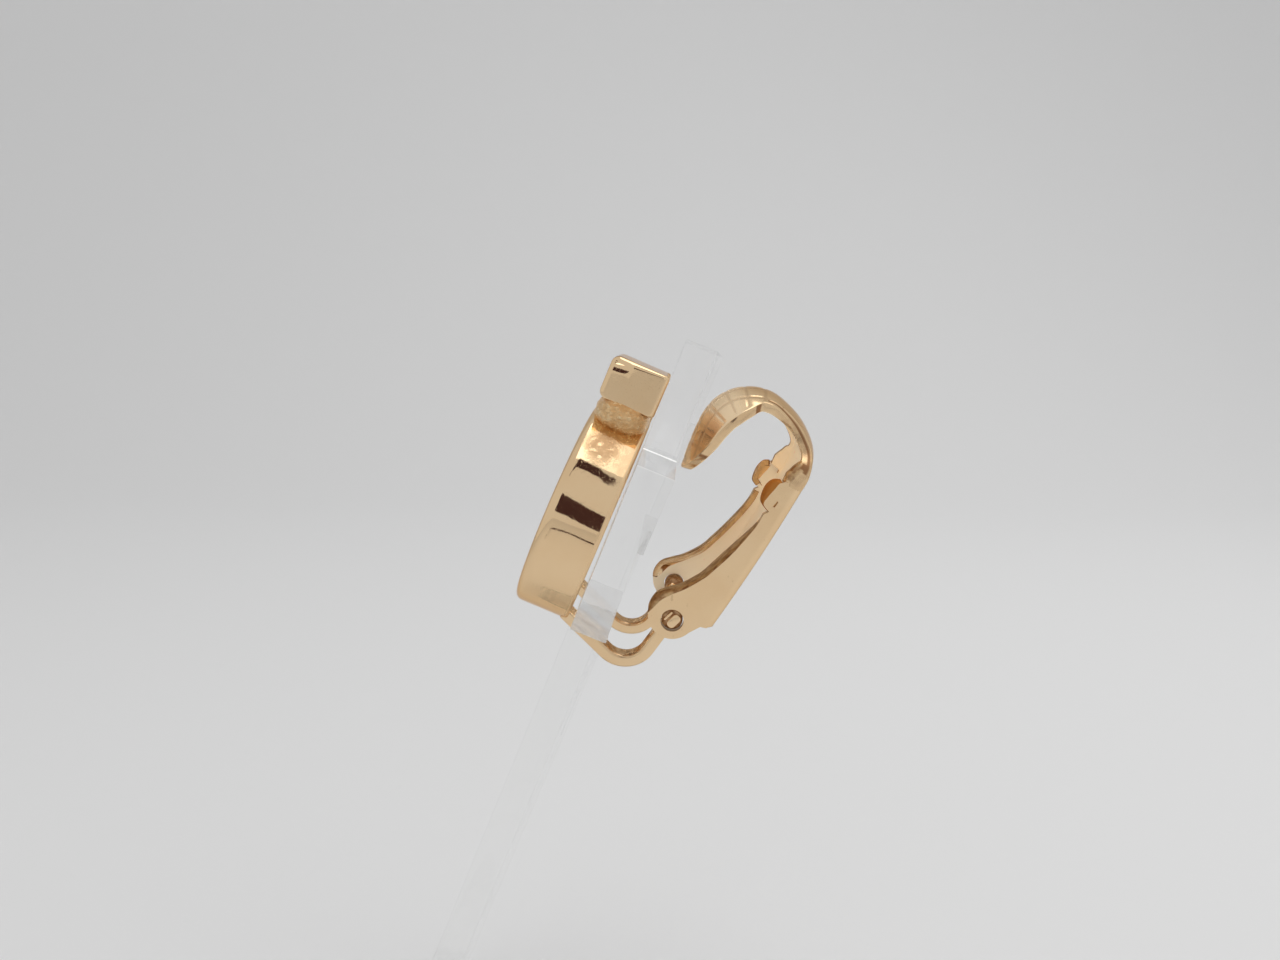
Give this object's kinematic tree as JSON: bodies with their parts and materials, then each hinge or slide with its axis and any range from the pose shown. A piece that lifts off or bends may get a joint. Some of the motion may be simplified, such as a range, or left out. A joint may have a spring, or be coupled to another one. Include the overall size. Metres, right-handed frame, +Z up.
{
  "type": "clip-on earring on a clear display stand",
  "caption": "Clip-on earring: a flat band curled into a scroll, with a wire loop and a hinged spring clip with a domed pad, held on the side tab of a leaning clear display plate.",
  "frame": {"origin": "middle of the foot's underside, on the surface that the stand rests on", "axes": "+Z up, -Y the side that the earring's front faces, +X the side that the tab points to, along the clip's hinge"},
  "size_m": [0.024, 0.036, 0.0578],
  "materials": {
    "gold_front": "polished pale gold plating",
    "gold_clip": "softly polished pale gold plating",
    "clear_sheet": "clear cast acrylic, polished faces and sawn edges"
  },
  "bodies": {
    "stand": {"display_foot": "clear_sheet", "display_plate": "clear_sheet", "scroll_front": "gold_front"},
    "clip": {"ear_clip": "gold_clip"}
  },
  "joints": [
    {"name": "clip_hinge", "type": "hinge", "parent": "stand", "child": "clip", "pos_m": [0.0025, 0.008, 0.043], "axis": [-1, 0, 0], "range_deg": [0, 90], "stiffness_Nm_per_rad": 0.0015, "springref_deg": -28.65}
  ]
}
